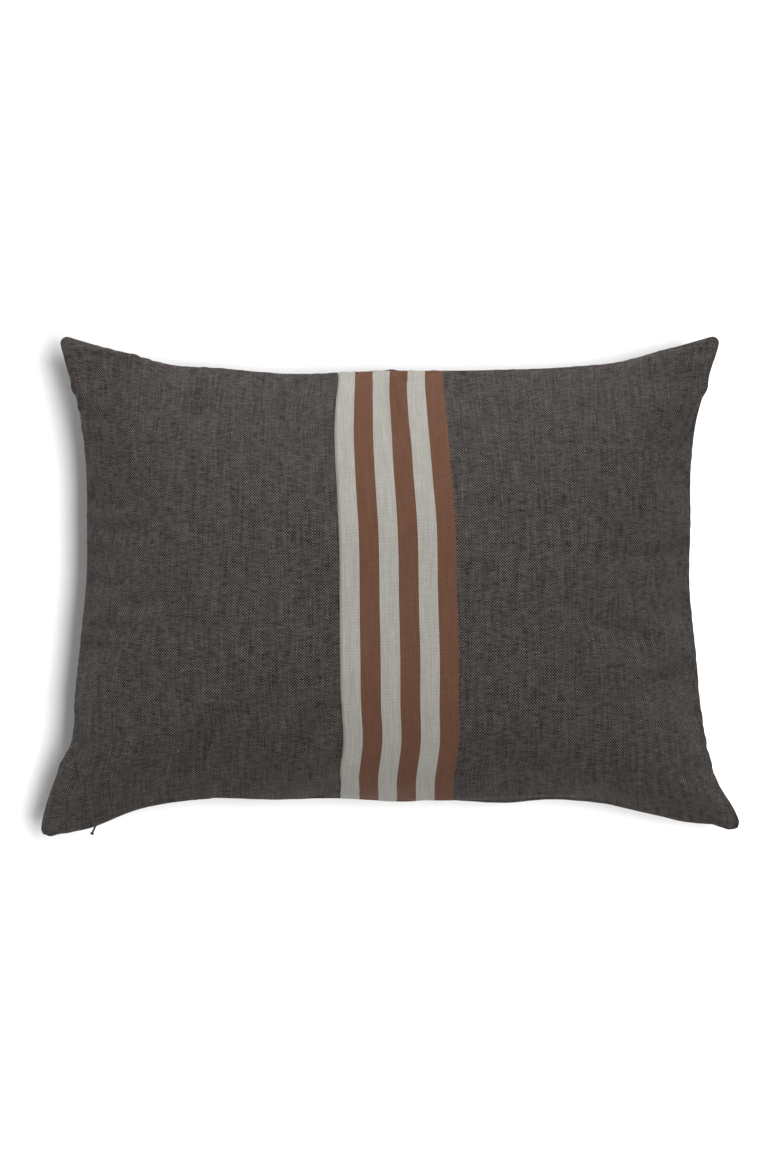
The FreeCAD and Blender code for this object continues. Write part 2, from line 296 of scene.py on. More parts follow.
LIFTS = {"zip_left": -0.010, "zip_right": -0.006, "top_left": 0.006, "top_right": 0.004}
top_z = seam_heights(columns, LIFTS["top_left"], LIFTS["top_right"])
left_z = seam_heights(rows, LIFTS["zip_left"], LIFTS["top_left"])
right_z = seam_heights(rows, LIFTS["zip_right"], LIFTS["top_right"])
zip_z = SEAM_Z + np.where(zip_x < 0, LIFTS["zip_left"], LIFTS["zip_right"]) * ear_share ** 2
left_z[0], right_z[0] = zip_z[0], zip_z[-1]

seam_surface = filled_in(zip_z[:, None], top_z[:, None], left_z[:, None], right_z[:, None])[..., 0]
DOME_SQUARENESS = 2.6
DOME_FULLNESS = 0.6
square = 1 - np.abs(2 * along[None, :] - 1) ** DOME_SQUARENESS
dome = (square * (1 - np.abs(2 * across[:, None] - 1) ** DOME_SQUARENESS)) ** DOME_FULLNESS

START_RISE = 0.85
BACK_DROP = 1.15
LOWEST_START = 0.004
EVENING_PASSES = 4
CENTRE_EASE = 0.045             # the cloth lies fuller in the middle and is gathered at the sides
front = np.dstack([filled_in(rolled_edge, top_edge, left_edge, right_edge),
                   seam_surface + START_RISE * (CROWN_Z - SEAM_Z) * dome])
back = np.dstack([filled_in(zip_edge, top_edge, left_edge, right_edge),
                  np.maximum(seam_surface - BACK_DROP * SEAM_Z * dome, LOWEST_START)])
swing = np.sin(2 * np.pi * along) / (2 * np.pi)
for sheet in (front, back):
    for _ in range(EVENING_PASSES):
        for row, share in zip(sheet[1:-1], across[1:-1]):
            row[:] = spaced(row, along - CENTRE_EASE * (1 - (2 * share - 1) ** 4) * swing)
        for column in range(1, len(columns) - 1):
            sheet[:, column] = spaced(sheet[:, column], across)

# the seams wave a little
for sheet in (front, back):
    for from_side, phase in ((columns - columns[0], 1.9), (columns[-1] - columns, 3.1)):
        wave = seam_wave(rows, phase)[:, None] * np.exp(-from_side / WAVE_REACH)[None, :]
        sheet[..., 2] += wave
    from_top = rows[-1] - rows
    sheet[..., 2] += seam_wave(columns, 0.4)[None, :] * np.exp(-from_top / WAVE_REACH)[:, None]

# the slit, held open by the zip's coils, closes towards the ears
SLIT_PAST_TAPE = 0.014
SLIT_CLOSING = 0.012
SHUT_LIP = 0.001
LIP_PLAY = 0.00006              # between the lips and the zip's tape
open_slit = np.clip((ZIP_HALF_LENGTH + SLIT_PAST_TAPE - from_zip_middle) / SLIT_CLOSING, 0, 1)
lip_way = zip_edge - ZIP_CENTRE
lip_way /= np.linalg.norm(lip_way, axis=1)[:, None]
lip_face = zip_edge - lip_way * LIP_PLAY * open_slit[:, None]
for sheet, way in ((front, 1), (back, -1)):
    sheet[0, :, :2] = lip_face
    sheet[0, :, 2] = zip_z + way * SLIT_HALF * open_slit
    upright = open_slit[:, None]
    sheet[1, :, :2] = upright * lip_face + (1 - upright) * sheet[1, :, :2]
    sheet[1, :, 2] = zip_z + way * (LIP_HEIGHT * open_slit + SHUT_LIP * (1 - open_slit))
back[1:, 0], back[1:, -1], back[-1, :] = front[1:, 0], front[1:, -1], front[-1, :]
back[0, 0], back[0, -1] = front[0, 0], front[0, -1]


def grid_faces(index, flip=False):
    """Four-sided faces over a grid of point numbers."""
    quads = np.stack([index[:-1, :-1], index[:-1, 1:], index[1:, 1:], index[1:, :-1]], axis=-1)
    quads = quads.reshape(-1, 4)
    return quads[:, ::-1] if flip else quads


CLOTH_GROWTH = 0.03             # cloth that the seams' shorter outline gives to the dome
SETTLE_FRAMES = 24
TABLE_Z = 0.0002


def filled_cover():
    """The cover blown up by its filling, its seams held, until it meets the table."""
    shape = front.shape[:2]
    front_index = np.arange(shape[0] * shape[1]).reshape(shape)
    own = np.ones(shape, bool)
    own[:, 0] = own[:, -1] = own[-1, :] = False
    back_index = front_index.copy()
    back_index[own] = front_index.size + np.arange(own.sum())
    points = np.concatenate([front.reshape(-1, 3), back[own]])
    faces = np.concatenate([grid_faces(front_index), grid_faces(back_index, flip=True)])
    mesh = bpy.data.meshes.new("slack_cover")
    mesh.from_pydata(points.tolist(), [], faces.tolist())
    cover = bpy.data.objects.new("slack_cover", mesh)
    bpy.context.collection.objects.link(cover)
    held = np.concatenate([front_index[:, 0], front_index[:, -1], front_index[-1],
                           front_index[0], front_index[1], back_index[0], back_index[1]])
    pins = cover.vertex_groups.new(name="held")
    pins.add(sorted(set(held.tolist())), 1.0, "REPLACE")

    bpy.ops.mesh.primitive_plane_add(size=2.0, location=(0, 0, -0.001))
    rest = bpy.context.active_object
    bpy.ops.object.modifier_add(type="COLLISION")
    rest.collision.thickness_outer = 0.001

    cloth = cover.modifiers.new("filling", "CLOTH")
    cloth.settings.quality = 5
    cloth.settings.mass = 0.1
    cloth.settings.tension_stiffness = 40
    cloth.settings.compression_stiffness = 30
    cloth.settings.shear_stiffness = 12
    cloth.settings.bending_stiffness = 1.5
    cloth.settings.tension_damping = 20
    cloth.settings.compression_damping = 20
    cloth.settings.air_damping = 4
    cloth.settings.vertex_group_mass = "held"
    cloth.settings.shrink_min = -CLOTH_GROWTH
    cloth.settings.use_pressure = True
    cloth.settings.uniform_pressure_force = 5
    cloth.settings.effector_weights.gravity = 0
    cloth.collision_settings.use_collision = True
    cloth.collision_settings.distance_min = 0.001
    cloth.point_cache.frame_start = 1
    cloth.point_cache.frame_end = SETTLE_FRAMES
    scene = bpy.context.scene
    for step in range(1, SETTLE_FRAMES + 1):
        scene.frame_set(step)
    settled = bpy.data.meshes.new_from_object(
        cover.evaluated_get(bpy.context.evaluated_depsgraph_get()))
    points = np.array([vertex.co for vertex in settled.vertices])
    bpy.data.objects.remove(cover)
    bpy.data.objects.remove(rest)
    scene.frame_set(1)
    return points[front_index], points[back_index]


front, back = filled_cover()

# where the striped panel's warp wanders to, at each place across, in millimetres
SWAY = [(-228, -7), (-212, -4.5), (-195, 0), (-165, 2.5), (-115, 3.8), (-55, 3), (45, 0),
        (128, -6), (185, -10.5), (213, -11)]
sway_y, sway_x = np.array(SWAY).T / 1000
SWAY_REACH = 0.16
SWAY_HELD = (0.02, 0.09)        # these pairs are shares of the cloth's width
DRAWN_IN = 0.07                 # the gathers at both ends draw the stripes together
DRAWN_BY_ZIP = (0.20, 0.95)
DRAWN_BY_TOP = (0.55, 0.95)

# the crown and the foot come to their heights, and everything between in step
above = (CROWN_Z - SEAM_Z) / (front[..., 2].max() - SEAM_Z)
below = (SEAM_Z - TABLE_Z) / (SEAM_Z - back[..., 2].min())
middle_share = np.exp(-((columns - SEAM_X) / SWAY_REACH) ** 2)[None, :]
drawn_in = ramp(1 - 2 * across, *DRAWN_BY_ZIP) + ramp(2 * across - 1, *DRAWN_BY_TOP)
drawn_in = DRAWN_IN * drawn_in[:, None]
for sheet in (front, back):
    height = sheet[2:, :, 2] - SEAM_Z
    sheet[2:, :, 2] = SEAM_Z + height * np.where(height > 0, above, below)
    level = np.clip(sheet[..., 1], sway_y[0], sway_y[-1])
    fold = level.min(axis=0)
    level = fold + (level - fold) * ramp(across, *SWAY_HELD)[:, None]
    sway = between(sway_x[:, None], sway_y, level.ravel()).reshape(level.shape)
    moved = sheet[..., 0] + sway * middle_share
    moved -= drawn_in * moved * np.exp(-(moved / SWAY_REACH) ** 2)
    sheet[:2, :, 1] += zip_seam_y(moved[:2]) - zip_seam_y(sheet[:2, :, 0])
    sheet[..., 0] = moved

# beside the zip the cloth is pressed, so the small waves die out there
PRESSED_PASSES = 12
PRESSED = (0.05, 0.14)
pressed = (1 - ramp(across, *PRESSED))[2:, None, None]
for sheet in (front, back):
    for _ in range(PRESSED_PASSES):
        even = (sheet[2:, :-2] + 2 * sheet[2:, 1:-1] + sheet[2:, 2:]) / 4
        sheet[2:, 1:-1] += pressed * (even - sheet[2:, 1:-1])

# the front rolls out over the zip, and both faces stay clear of its coils
ROLL_LEFT = 0.55                # what the filling has still to add to the roll
ROLL_STARTS = (0.008, 0.022)
ROLL_ENDS = (0.06, 0.40)
OVER_LIP = 0.0002
off_zip = ramp(across, *ROLL_STARTS) * (1 - ramp(across, *ROLL_ENDS))
front[..., 1] -= ROLL_LEFT * roll_out[None, :] * off_zip[:, None]
over_zip = open_slit > 0
near_zip = slice(2, row_count // 3)
for sheet, way in ((front, 1), (back, -1)):
    off_level = way * (sheet[near_zip, over_zip, 2] - SEAM_Z)
    sheet[near_zip, over_zip, 2] = SEAM_Z + way * np.maximum(off_level, LIP_HEIGHT + OVER_LIP)


# ---------------------------------------------------------------- cover: seams in close up
# The panels are sewn 12 mm from their edges, turned out and pressed.  The allowances inside
# stand up as a low ridge, the thread draws small gathers, and the front seam lies in a ditch.

FINE_CELL = 0.0031
BESIDE_SEAM = (0.0, 0.0007, 0.0016, 0.0028)
ALLOWANCE = 0.010
ALLOWANCE_RISE = 0.0006
ALLOWANCE_EDGE = 0.0016
ALLOWANCE_FADE = 0.005
GATHER = 0.00022
GATHER_REACH = 0.020
GATHER_START = 0.006
DITCH = 0.0016
DITCH_HALF = 0.0016
DITCH_FROM_ZIP = (0.012, 0.07)
DITCH_FROM_TOP = (0, 0.003)
PROUD = 0.0018                  # both allowances of the front seam are pressed to the right
PROUD_REACH = 0.013


def stations(start, end):
    """Places from one seam to the next, closer together beside the seams."""
    near = np.array(BESIDE_SEAM)
    reach = near[-1] + FINE_CELL / 2
    count = round((end - start - 2 * reach) / FINE_CELL) + 1
    return np.concatenate([start + near, np.linspace(start + reach, end - reach, count),
                           end - near[::-1]])


fine_rows = np.concatenate([[rows[0], (rows[0] + rows[1]) / 2], stations(rows[1], rows[-1])])
left_columns = stations(columns[0], SEAM_X)
right_columns = stations(SEAM_X, columns[-1])
all_columns = stations(columns[0], columns[-1])


def refined(sheet, wanted_columns):
    """The sheet at closer places; its lip beside the slit stays straight."""
    on_lip = fine_rows < rows[1]
    share = (fine_rows[on_lip] - rows[0]) / (rows[1] - rows[0])
    lip = sheet[0] + share[:, None, None] * (sheet[1] - sheet[0])
    rest = between(sheet[1:], rows[1:], fine_rows[~on_lip])
    tall = np.concatenate([lip, rest])
    return between(tall.swapaxes(0, 1), columns, wanted_columns).swapaxes(0, 1)


def outward(sheet, way):
    """The direction out of the cloth at each point: up on the front, down on the back."""
    normal = way * np.cross(np.gradient(sheet, axis=1), np.gradient(sheet, axis=0))
    return normal / (np.linalg.norm(normal, axis=2)[..., None] + 1e-12)


def sewn_relief(wanted_columns, phase):
    """How far the cloth stands out of its smooth shape beside the outer seams."""
    x, y = wanted_columns[None, :], fine_rows[:, None]
    from_sides = np.minimum(x - columns[0], columns[-1] - x)
    from_top = rows[-1] - y
    from_zip = np.maximum(y - rows[1], 0)
    from_seam = np.minimum(np.minimum(from_sides, from_top), from_zip)
    relief = ALLOWANCE_RISE * ramp(from_seam, 0, ALLOWANCE_EDGE)
    relief *= 1 - ramp(from_seam, ALLOWANCE, ALLOWANCE + ALLOWANCE_FADE)
    end_pull = np.exp(-from_top / GATHER_REACH) + np.exp(-from_zip / GATHER_REACH)
    gathers = puckers(x, phase) * end_pull
    gathers = gathers + puckers(y, phase + 1) * np.exp(-from_sides / GATHER_REACH)
    return relief + GATHER * gathers * ramp(from_seam, 0, GATHER_START)


def front_seam_relief(wanted_columns):
    """The ditch of the seam between the front panels, and the raised striped side of it."""
    beside = wanted_columns[None, :] - SEAM_X
    in_ditch = np.exp(-(beside / DITCH_HALF) ** 2)
    raised = PROUD * np.exp(-(beside / PROUD_REACH) ** 2) * (1 - in_ditch)
    relief = -DITCH * in_ditch + np.where(beside > 0, raised, 0)
    y = fine_rows[:, None]
    return relief * ramp(y - rows[1], *DITCH_FROM_ZIP) * ramp(rows[-1] - y, *DITCH_FROM_TOP)


def cloth_piece(name, sheet, wanted_columns, way, thickness):
    """A sheet of cloth from its grid, with its flat cut as UV map, in metres."""
    index = np.arange(sheet.shape[0] * sheet.shape[1]).reshape(sheet.shape[:2])
    mesh = bpy.data.meshes.new(name)
    mesh.from_pydata(sheet.reshape(-1, 3).tolist(), [], grid_faces(index, flip=way < 0).tolist())
    flat = np.dstack(np.meshgrid(wanted_columns, fine_rows)).reshape(-1, 2)
    corners = np.zeros(len(mesh.loops), np.int32)
    mesh.loops.foreach_get("vertex_index", corners)
    mesh.uv_layers.new(name="cut").data.foreach_set("uv", flat[corners].ravel())
    piece = bpy.data.objects.new(name, mesh)
    bpy.context.collection.objects.link(piece)
    bpy.ops.object.select_all(action="DESELECT")
    bpy.context.view_layer.objects.active = piece
    piece.select_set(True)
    wall = piece.modifiers.new("thickness", "SOLIDIFY")
    wall.thickness = thickness
    wall.offset = -1
    bpy.ops.object.modifier_apply(modifier="thickness")
    bpy.ops.object.shade_smooth_by_angle(angle=math.radians(50))
    return piece


front_fine = refined(front, all_columns)
back_fine = refined(back, all_columns)
back_fine += outward(back_fine, -1) * sewn_relief(all_columns, 2.3)[..., None]
front_halves = []
for wanted in (left_columns, right_columns):
    half = refined(front, wanted)
    relief = sewn_relief(wanted, 0.9) + front_seam_relief(wanted)
    front_halves.append(half + outward(half, 1) * relief[..., None])

plain_front = cloth_piece("plain_front_cloth", front_halves[0], left_columns, 1, CLOTH)
striped_front = cloth_piece("striped_front_cloth", front_halves[1], right_columns, 1, CLOTH)
plain_back = cloth_piece("back_cloth", back_fine, all_columns, -1, CLOTH)


# ---------------------------------------------------------------- chambray
# Linen chambray: charcoal warp, paler weft, plain weave, thick and thin yarns.  The striped
# panel has six warp stripes of 3/4 in each from the front seam on, pale grey and rust by turns.

YARN = 0.00138
STRIPE = 0.01905
STRIPE_COUNT = 6
LOOSE_WEFT = 0.0011             # how far the last stripe's edge steps in and out
WANDER = 0.006                  # how far a yarn strays from straight
CROWN_RISE = 0.45               # a yarn's height over a crossing: this share, and the rest
CROWN_FOOT = 0.55
SPECK_ABOVE = 0.9994            # one crossing in 1700 or so shows a pale fleck
SPECK_SHADE = 0.9


def add(tree, kind, inputs=None, **settings):
    """A node with its settings, its inputs linked or set."""
    made = tree.nodes.new(kind)
    for name, value in settings.items():
        setattr(made, name, value)
    for place, value in (inputs or {}).items():
        if isinstance(value, bpy.types.NodeSocket):
            tree.links.new(value, made.inputs[place])
        else:
            made.inputs[place].default_value = value
    return made


def calc(tree, operation, *values):
    """The result of one sum."""
    return add(tree, "ShaderNodeMath", dict(enumerate(values)), operation=operation).outputs[0]


def tint(tree, share, low, high, way="MIX"):
    """One colour laid over another by a share."""
    return add(tree, "ShaderNodeMix", {0: share, 6: low, 7: high}, data_type="RGBA",
               blend_type=way).outputs[2]


def group_with(name, inputs, outputs):
    """A node group, the sockets that it is given and those that it fills."""
    group = bpy.data.node_groups.new(name, "ShaderNodeTree")
    for way, sockets in (("INPUT", inputs), ("OUTPUT", outputs)):
        for label, kind in sockets:
            group.interface.new_socket(label, in_out=way, socket_type="NodeSocket" + kind)
    given_sockets = group.nodes.new("NodeGroupInput").outputs
    return group, given_sockets, group.nodes.new("NodeGroupOutput").inputs


weave, given, result = group_with(
    "plain_weave",
    [("Place", "Vector"), ("Warp", "Color"), ("Weft", "Color"), ("Yarn", "Float"), ("Slub", "Float")],
    [("Color", "Color"), ("Height", "Float")])
wander = add(weave, "ShaderNodeTexNoise", {"Vector": given["Place"], "Scale": 14.0, "Detail": 3.0})
drift = add(weave, "ShaderNodeVectorMath", {0: wander.outputs["Color"], 1: (0.5, 0.5, 0.5)},
            operation="SUBTRACT")
drift = add(weave, "ShaderNodeVectorMath", {0: drift.outputs[0], 3: WANDER}, operation="SCALE")
placed = add(weave, "ShaderNodeVectorMath", {0: given["Place"], 1: drift.outputs[0]}, operation="ADD")
flat_place = add(weave, "ShaderNodeSeparateXYZ", {0: placed.outputs[0]}).outputs
warp_count = calc(weave, "DIVIDE", flat_place["X"], given["Yarn"])
weft_count = calc(weave, "DIVIDE", flat_place["Y"], given["Yarn"])
warp_cell = calc(weave, "FLOOR", warp_count)
weft_cell = calc(weave, "FLOOR", weft_count)
warp_over = calc(weave, "FLOORED_MODULO", calc(weave, "ADD", warp_cell, weft_cell), 2.0)
weft_over = calc(weave, "SUBTRACT", 1.0, warp_over)
warp_crown = calc(weave, "SINE", calc(weave, "MULTIPLY", calc(weave, "FRACT", warp_count), math.pi))
weft_crown = calc(weave, "SINE", calc(weave, "MULTIPLY", calc(weave, "FRACT", weft_count), math.pi))
warp_height = calc(weave, "MULTIPLY", warp_crown,
                   calc(weave, "MULTIPLY_ADD", weft_crown, CROWN_RISE, CROWN_FOOT))
weft_height = calc(weave, "MULTIPLY", weft_crown,
                   calc(weave, "MULTIPLY_ADD", warp_crown, CROWN_RISE, CROWN_FOOT))
height = calc(weave, "ADD", calc(weave, "MULTIPLY", warp_over, warp_height),
              calc(weave, "MULTIPLY", weft_over, weft_height))


YARN_STEP = 1.73                # from one yarn to the next in the noise, so that they differ


def yarn_tone(cell, along_yarn, seed, stretch):
    """Each yarn's own shade, drifting along its length in slubs."""
    spot = add(weave, "ShaderNodeCombineXYZ", {
        0: calc(weave, "MULTIPLY", cell, YARN_STEP),
        1: calc(weave, "MULTIPLY", along_yarn, stretch),
        2: seed})
    noise = add(weave, "ShaderNodeTexNoise", {"Vector": spot.outputs[0], "Scale": 1.0, "Detail": 2.0})
    return calc(weave, "SUBTRACT", noise.outputs[0], 0.5)


warp_tone = yarn_tone(warp_cell, flat_place["Y"], 3.0, 28.0)
weft_tone = yarn_tone(weft_cell, flat_place["X"], 8.0, 110.0)
weft_tone = calc(weave, "MULTIPLY", weft_tone, calc(weave, "MULTIPLY", given["Slub"], 2.3))
warp_tone = calc(weave, "MULTIPLY", warp_tone, calc(weave, "MULTIPLY_ADD", given["Slub"], 1.4, 0.3))
tone = calc(weave, "ADD", calc(weave, "ADD", warp_tone, weft_tone), 1.0)
# Each yarn's random tone, times painted shade from the yarns' height: the crowns of the yarns lighter, the
# hollows between them darker.
tone_and_painted_shade = calc(weave, "MULTIPLY", tone, calc(weave, "MULTIPLY_ADD", height, 0.45, 0.65))
patch = add(weave, "ShaderNodeTexNoise", {"Vector": given["Place"], "Scale": 32.0, "Detail": 2.0})
patch = calc(weave, "MULTIPLY_ADD", calc(weave, "SUBTRACT", patch.outputs[0], 0.5), 2.2, 1.0)
over = calc(weave, "MULTIPLY_ADD", calc(weave, "SUBTRACT", warp_over, 0.5), patch, 0.5)
cloth_colour = tint(weave, over, given["Weft"], given["Warp"])
speck_place = add(weave, "ShaderNodeCombineXYZ", {0: warp_cell, 1: weft_cell}).outputs[0]
speck = add(weave, "ShaderNodeTexWhiteNoise", {"Vector": speck_place}, noise_dimensions="2D")
speck = calc(weave, "MULTIPLY", calc(weave, "GREATER_THAN", speck.outputs[0], SPECK_ABOVE), given["Slub"])
tone_and_painted_shade = calc(weave, "MULTIPLY_ADD", speck, SPECK_SHADE, tone_and_painted_shade)
tone_and_painted_shade_colour = add(weave, "ShaderNodeCombineXYZ", {0: tone_and_painted_shade, 1: tone_and_painted_shade, 2: tone_and_painted_shade}).outputs[0]
weave.links.new(tint(weave, 1.0, cloth_colour, tone_and_painted_shade_colour, "MULTIPLY"), result["Color"])
weave.links.new(height, result["Height"])


def woven(name, warp, weft, yarn, slub, relief, roughness, sheen, on_cut=True):
    """A woven cloth.  Warp and weft are colours, or ways to make one from the cloth's place."""
    material = bpy.data.materials.new(name)
    material.use_nodes = True
    tree = material.node_tree
    surface = tree.nodes["Principled BSDF"]
    if on_cut:
        place = add(tree, "ShaderNodeUVMap", uv_map="cut").outputs[0]
    else:
        place = add(tree, "ShaderNodeTexCoord").outputs["Object"]
    colours = [way(tree, place) if callable(way) else way for way in (warp, weft)]
    yarns = add(tree, "ShaderNodeGroup", node_tree=weave)
    tree.links.new(place, yarns.inputs["Place"])
    for label, colour in zip(("Warp", "Weft"), colours):
        if isinstance(colour, bpy.types.NodeSocket):
            tree.links.new(colour, yarns.inputs[label])
        else:
            yarns.inputs[label].default_value = (*colour, 1)
    yarns.inputs["Yarn"].default_value = yarn
    if callable(slub):
        tree.links.new(slub(tree, place), yarns.inputs["Slub"])
    else:
        yarns.inputs["Slub"].default_value = slub
    bump = add(tree, "ShaderNodeBump", {"Height": yarns.outputs["Height"], "Strength": 0.6,
                                        "Distance": relief})
    tree.links.new(yarns.outputs["Color"], surface.inputs["Base Color"])
    tree.links.new(bump.outputs[0], surface.inputs["Normal"])
    surface.inputs["Roughness"].default_value = roughness
    surface.inputs["Sheen Weight"].default_value = sheen
    surface.inputs["Sheen Roughness"].default_value = 0.45
    surface.inputs["Specular IOR Level"].default_value = 0.25
    return material


CHARCOAL_WARP = (0.0065, 0.0056, 0.0052)
CHARCOAL_WEFT = (0.112, 0.097, 0.089)
GREY = (0.40, 0.39, 0.35)
RUST = (0.136, 0.061, 0.036)
GREY_WEFT = [part * 0.93 for part in GREY]
RUST_WEFT = [part * 1.08 for part in RUST]
STRIPE_SLUB = ((0.12, 0.12, 0.12), (0.15, 0.15, 0.15), (1, 1, 1))


def striped(grey, rust, ground):
    """Colour across the cloth: six stripes from the seam on, then the ground.

    The last stripe's edge steps in and out by a yarn or so, where the weft floats over it.
    """
    def colour(tree, place):
        axes = add(tree, "ShaderNodeSeparateXYZ", {0: place}).outputs
        yarn_pair = calc(tree, "FLOOR", calc(tree, "DIVIDE", axes["Y"], YARN * 2))
        step = calc(tree, "FLOORED_MODULO", yarn_pair, 2.0)
        past = calc(tree, "SUBTRACT", axes["X"], SEAM_X + STRIPE * (STRIPE_COUNT - 1))
        loose = calc(tree, "MULTIPLY", calc(tree, "GREATER_THAN", past, 0.0), LOOSE_WEFT)
        reach = calc(tree, "MULTIPLY_ADD", step, loose, calc(tree, "SUBTRACT", axes["X"], SEAM_X))
        reach = calc(tree, "DIVIDE", reach, STRIPE * (STRIPE_COUNT + 1))
        bands = add(tree, "ShaderNodeValToRGB", {0: reach})
        bands.color_ramp.interpolation = "CONSTANT"
        while len(bands.color_ramp.elements) < STRIPE_COUNT + 1:
            bands.color_ramp.elements.new(0.5)
        for count, band in enumerate(bands.color_ramp.elements):
            band.position = count / (STRIPE_COUNT + 1)
            band.color = (*(ground if count == STRIPE_COUNT else (grey, rust)[count % 2]), 1)
        return bands.outputs[0]
    return colour


charcoal_chambray = woven("charcoal_chambray", CHARCOAL_WARP, CHARCOAL_WEFT, YARN, slub=1.0,
                          relief=0.0003, roughness=0.85, sheen=0.0)
striped_chambray = woven("striped_chambray", striped(GREY, RUST, CHARCOAL_WARP),
                         striped(GREY_WEFT, RUST_WEFT, CHARCOAL_WEFT), YARN,
                         slub=striped(*STRIPE_SLUB), relief=0.0003, roughness=0.85, sheen=0.0)
for piece, node, slot, finish, width, rest in (
        (plain_front, "front_left_panel", "chambray_front_left", charcoal_chambray,
         SEAM_X - columns[0], "insert_bag_front"),
        (striped_front, "front_right_panel", "chambray_striped", striped_chambray,
         columns[-1] - SEAM_X, "insert_bag_front"),
        (plain_back, "back_panel", "chambray_back", charcoal_chambray, CUT_LENGTH, "insert_bag_back")):
    piece.data.materials.append(finish)
    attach(piece, "pillow")
    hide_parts(node)


# ---------------------------------------------------------------- seam threads
# Dark polyester lockstitch, a stitch every 3 mm, a millimetre inside the seam lines: one row
# round the outer seam and past the zip's ends, one down the seam between the front panels.

STITCH_PITCH = 0.003
STITCH_LENGTH = 0.0024
THREAD_RADIUS = 0.00022
THREAD_INSET = 0.0013
STEADY = (0.2, 0.1, 1.0)        # a direction that no seam runs along
EAR_STATIONS = 3                # left unsewn at each end of a seam
LIP_STATIONS = 6                # left unsewn where the front seam meets the zip


def row_of_stitches(name, line):
    """Stitches along a line of points, all shaped like one sphere drawn out along its thread."""
    bpy.ops.mesh.primitive_uv_sphere_add(segments=6, ring_count=5, radius=1.0, location=(0, 0, 0))
    model = bpy.context.active_object
    shape = np.array([vertex.co for vertex in model.data.vertices])
    faces = [list(face.vertices) for face in model.data.polygons]
    bpy.data.objects.remove(model)
    length = run_along(line)[-1]
    count = int(length / STITCH_PITCH)
    spots = spaced(line, (np.arange(count) + 0.5) / count)
    ways = np.gradient(spots, axis=0)
    ways /= np.linalg.norm(ways, axis=1)[:, None]
    points, all_faces = [], []
    for spot, way in zip(spots, ways):
        side = np.cross(way, STEADY)
        side /= np.linalg.norm(side)
        turn = np.stack([np.cross(side, way) * THREAD_RADIUS, side * THREAD_RADIUS,
                         way * STITCH_LENGTH / 2])
        all_faces += [[corner + len(points) * len(shape) for corner in face] for face in faces]
        points.append(spot + shape @ turn)
    mesh = bpy.data.meshes.new(name)
    mesh.from_pydata(np.concatenate(points).tolist(), [], all_faces)
    thread = bpy.data.objects.new(name, mesh)
    bpy.context.collection.objects.link(thread)
    bpy.ops.object.select_all(action="DESELECT")
    bpy.context.view_layer.objects.active = thread
    thread.select_set(True)
    bpy.ops.object.mode_set(mode="EDIT")
    bpy.ops.mesh.select_all(action="SELECT")
    bpy.ops.mesh.normals_make_consistent(inside=False)
    bpy.ops.object.mode_set(mode="OBJECT")
    bpy.ops.object.shade_smooth()
    return thread


way_out = outward(front_fine, 1) + outward(back_fine, -1)
way_out /= np.linalg.norm(way_out, axis=2)[..., None] + 1e-12
seam_inside = front_fine - way_out * THREAD_INSET
over_slit = np.flatnonzero(open_slit > 0)
zip_stop_left, zip_stop_right = np.searchsorted(all_columns, columns[over_slit[[0, -1]]])
sewn = slice(EAR_STATIONS, -EAR_STATIONS)
outer_line = np.concatenate([seam_inside[0, EAR_STATIONS:zip_stop_left][::-1], seam_inside[sewn, 0],
                             seam_inside[-1, sewn], seam_inside[sewn, -1][::-1],
                             seam_inside[0, zip_stop_right:-EAR_STATIONS][::-1]])
left_half = refined(front, left_columns)
under_ditch = left_half - outward(left_half, 1) * (DITCH + CLOTH + THREAD_RADIUS * 1.5)
seam_line = under_ditch[LIP_STATIONS:-EAR_STATIONS, -1]

outer_thread = row_of_stitches("outer_seam_stitches", outer_line)
front_thread = row_of_stitches("front_seam_stitches", seam_line)
charcoal_thread = woven("charcoal_thread", (0.05, 0.044, 0.04), (0.03, 0.026, 0.024), 0.00018,
                        slub=0.6, relief=0.00005, roughness=0.6, sheen=0.0, on_cut=False)
for thread, node in ((outer_thread, "cover_seam_thread"), (front_thread, "front_seam_thread")):
    thread.data.materials.append(charcoal_thread)
    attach(thread, "pillow")
    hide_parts(node)


# ---------------------------------------------------------------- insert
# A bag of white down-proof cotton, two panels sewn edge to edge, blown full of polyester fibre.
# It stops short of the cover's ears, and gives way where the zip's coils and slider lie.

CASING = 0.0004
INSERT_SHARE = 0.965            # of the cover's cut, in plan
INSERT_GAP = 0.0040             # from the cover's outer face to the bag's
THINNEST_BAG = 0.0006
THINNEST_FILL = 0.00015
FILL_SHORT = 0.004              # of the bag's share
FILL_GAP = 0.0004
RECESS = 0.0176                 # how far behind the zip's arc the insert stays
RECESS_HALF = 0.0085
RECESS_END = 2.4 * RECESS_HALF
RECESS_RELIEF = 0.05
RIM_REACH = 0.012
SHORT_OF_SIDES = 0.02
SHORT_OF_EARS = 0.06


def layer_inside(share, gap, thinnest):
    """Front and back of a layer inside the cover, meeting at their rim."""
    faces = []
    for sheet in (front, back):
        tall = between(sheet[1:], rows[1:], fine_rows * share).swapaxes(0, 1)
        faces.append(between(tall, columns, all_columns * share).swapaxes(0, 1))
    middle = (faces[0] + faces[1]) / 2
    half = (faces[0] - faces[1]) / 2
    depth = np.linalg.norm(half, axis=2)
    from_sides = np.minimum(all_columns - columns[0], columns[-1] - all_columns)
    from_ends = np.minimum(fine_rows - rows[0], rows[-1] - fine_rows)
    from_rim = np.minimum(from_sides[None, :], from_ends[:, None])
    kept = np.maximum(depth - gap, thinnest) * np.sqrt(ramp(from_rim, 0, RIM_REACH))
    way = half / (depth[..., None] + 1e-9)
    in_ear = np.abs(all_columns[None, :] * fine_rows[:, None] / (columns[-1] * rows[-1])) ** 6
    middle[..., :2] *= (1 - SHORT_OF_SIDES - SHORT_OF_EARS * in_ear)[..., None]
    return middle + way * kept[..., None], middle - way * kept[..., None]


